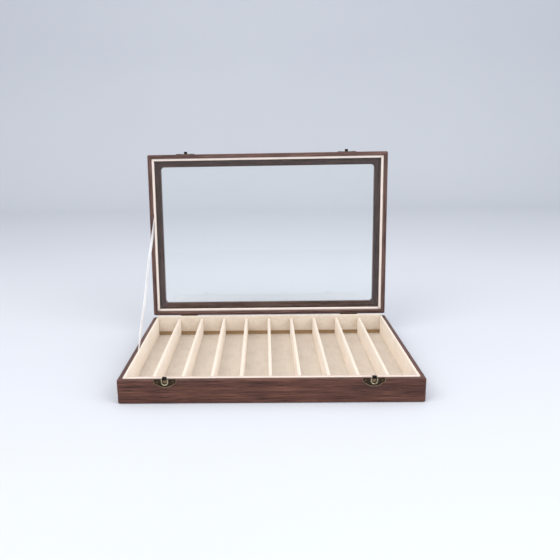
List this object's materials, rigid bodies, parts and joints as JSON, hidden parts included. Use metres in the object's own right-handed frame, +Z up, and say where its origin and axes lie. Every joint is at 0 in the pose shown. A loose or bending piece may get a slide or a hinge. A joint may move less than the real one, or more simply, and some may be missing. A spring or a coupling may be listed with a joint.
{
  "type": "hairpin storage case",
  "caption": "Shallow wood-grain case with a hinged glass lid, velvet compartments, latches on the front and a ribbon stay.",
  "frame": {"origin": "middle of the underside of the base, on the surface that the case stands on", "axes": "+X to the viewer's right along the case, +Y to the hinges at the back, +Z up; the lid stands open as in the picture"},
  "size_m": [0.35, 0.2779, 0.2739],
  "materials": {
    "wood_wrap": "wood-grain wrap, satin",
    "velvet": "short-pile velvet",
    "felt": "pressed felt",
    "ribbon": "satin ribbon",
    "board": "raw hardboard",
    "glass": "clear, polished",
    "antique_brass": "antiqued, darkened in the hollows",
    "hinge_brass": "antiqued"
  },
  "bodies": {
    "base": {"hinge_left_base_leaf": "hinge_brass", "hinge_left_pin": "hinge_brass", "hinge_right_base_leaf": "hinge_brass", "hinge_right_pin": "hinge_brass", "hinge_base_screws": "hinge_brass", "left_latch_plate": "antique_brass", "right_latch_plate": "antique_brass", "latch_plate_nails": "antique_brass", "bottom_board": "board", "underside_felt": "felt", "floor_pad": "velvet", "divider_1": "velvet", "divider_2": "velvet", "divider_3": "velvet", "divider_4": "velvet", "divider_5": "velvet", "divider_6": "velvet", "divider_7": "velvet", "divider_8": "velvet", "divider_9": "velvet", "base_front_rail": "wood_wrap", "base_front_liner": "velvet", "base_back_rail": "wood_wrap", "base_back_liner": "velvet", "base_left_rail": "wood_wrap", "base_left_liner": "velvet", "base_right_rail": "wood_wrap", "base_right_liner": "velvet", "ribbon_stay": "ribbon"},
    "lid": {"lid_front_rail": "wood_wrap", "lid_front_liner": "velvet", "lid_back_rail": "wood_wrap", "lid_back_liner": "velvet", "lid_left_rail": "wood_wrap", "lid_left_liner": "velvet", "lid_right_rail": "wood_wrap", "lid_right_liner": "velvet", "glass_pane": "glass", "hinge_left_lid_leaf": "hinge_brass", "hinge_right_lid_leaf": "hinge_brass", "hinge_lid_screws": "hinge_brass", "left_latch_hook": "antique_brass", "right_latch_hook": "antique_brass", "latch_hook_nails": "antique_brass"},
    "left_loop": {"left_latch_loop": "antique_brass"},
    "right_loop": {"right_latch_loop": "antique_brass"}
  },
  "joints": [
    {"name": "lid_hinge", "type": "hinge", "parent": "base", "child": "lid", "pos_m": [0, 0.1218, 0.0291], "axis": [1, 0, 0], "range_deg": [0, 94], "deforming": ["ribbon_stay"]},
    {"name": "left_latch_hinge", "type": "hinge", "parent": "base", "child": "left_loop", "pos_m": [-0.1195, -0.12235, 0.0322], "axis": [-1, 0, 0], "range_deg": [0, 184]},
    {"name": "right_latch_hinge", "type": "hinge", "parent": "base", "child": "right_loop", "pos_m": [0.116, -0.12235, 0.0322], "axis": [-1, 0, 0], "range_deg": [0, 184]}
  ]
}
